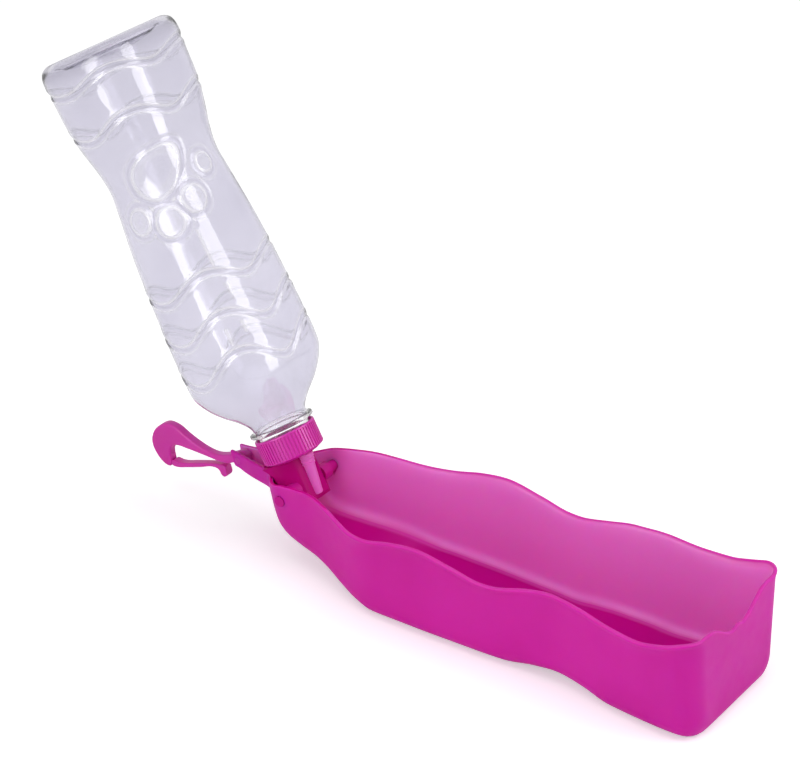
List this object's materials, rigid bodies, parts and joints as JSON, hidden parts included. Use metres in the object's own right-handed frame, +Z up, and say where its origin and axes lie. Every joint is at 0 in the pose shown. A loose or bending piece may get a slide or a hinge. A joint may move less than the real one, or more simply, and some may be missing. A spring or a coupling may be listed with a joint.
{
  "type": "dog travel water bottle",
  "caption": "Clear waisted squeeze bottle in a ribbed screw cap, hinged on a long wavy-rimmed drinking trough that folds round it as a cover, with a flat belt hook at the hinge end",
  "frame": {"origin": "middle of the front flat of the trough underside, on the plane it stands on", "axes": "+X along the trough toward its far end, away from the hook; +Y across; +Z up. The bottle is shown open, leaning back toward -X"},
  "size_m": [0.3637, 0.0854, 0.2376],
  "materials": {
    "clear_bottle": "clear blown bottle plastic with a faint lilac grey tint",
    "cap_plastic": "deep magenta moulded plastic, satin gloss",
    "liner": "soft white sealing foam",
    "nozzle_plastic": "magenta moulded plastic, smooth",
    "trough_plastic": "translucent magenta moulded plastic, smooth satin",
    "hook_plastic": "translucent magenta moulded plastic, smooth"
  },
  "bodies": {
    "trough": {"trough": "trough_plastic"},
    "cap": {"screw_cap": "cap_plastic", "cap_liner": "liner", "nozzle": "nozzle_plastic"},
    "bottle": {"bottle": "clear_bottle"},
    "hook": {"hook": "hook_plastic"},
    "gate": {"hook_gate": "hook_plastic"}
  },
  "joints": [
    {"name": "trough_fold", "type": "hinge", "parent": "trough", "child": "cap", "pos_m": [-0.09, 0, 0.0336], "axis": [0, 1, 0], "range_deg": [0, 120.5]},
    {"name": "bottle_unscrew", "type": "hinge", "parent": "cap", "child": "bottle", "pos_m": [-0.10276, 0, 0.0551], "axis": [-0.5105, 0, 0.8599], "range_deg": [0, 360]},
    {"name": "hook_swing", "type": "hinge", "parent": "trough", "child": "hook", "pos_m": [-0.1276, 0, 0.0343], "axis": [0, 1, 0], "range_deg": [-8, 40]},
    {"name": "gate_flex", "type": "hinge", "parent": "hook", "child": "gate", "pos_m": [-0.1681, 0, 0.0182], "axis": [0, 1, 0], "range_deg": [0, 16], "stiffness_Nm_per_rad": 0.3}
  ]
}
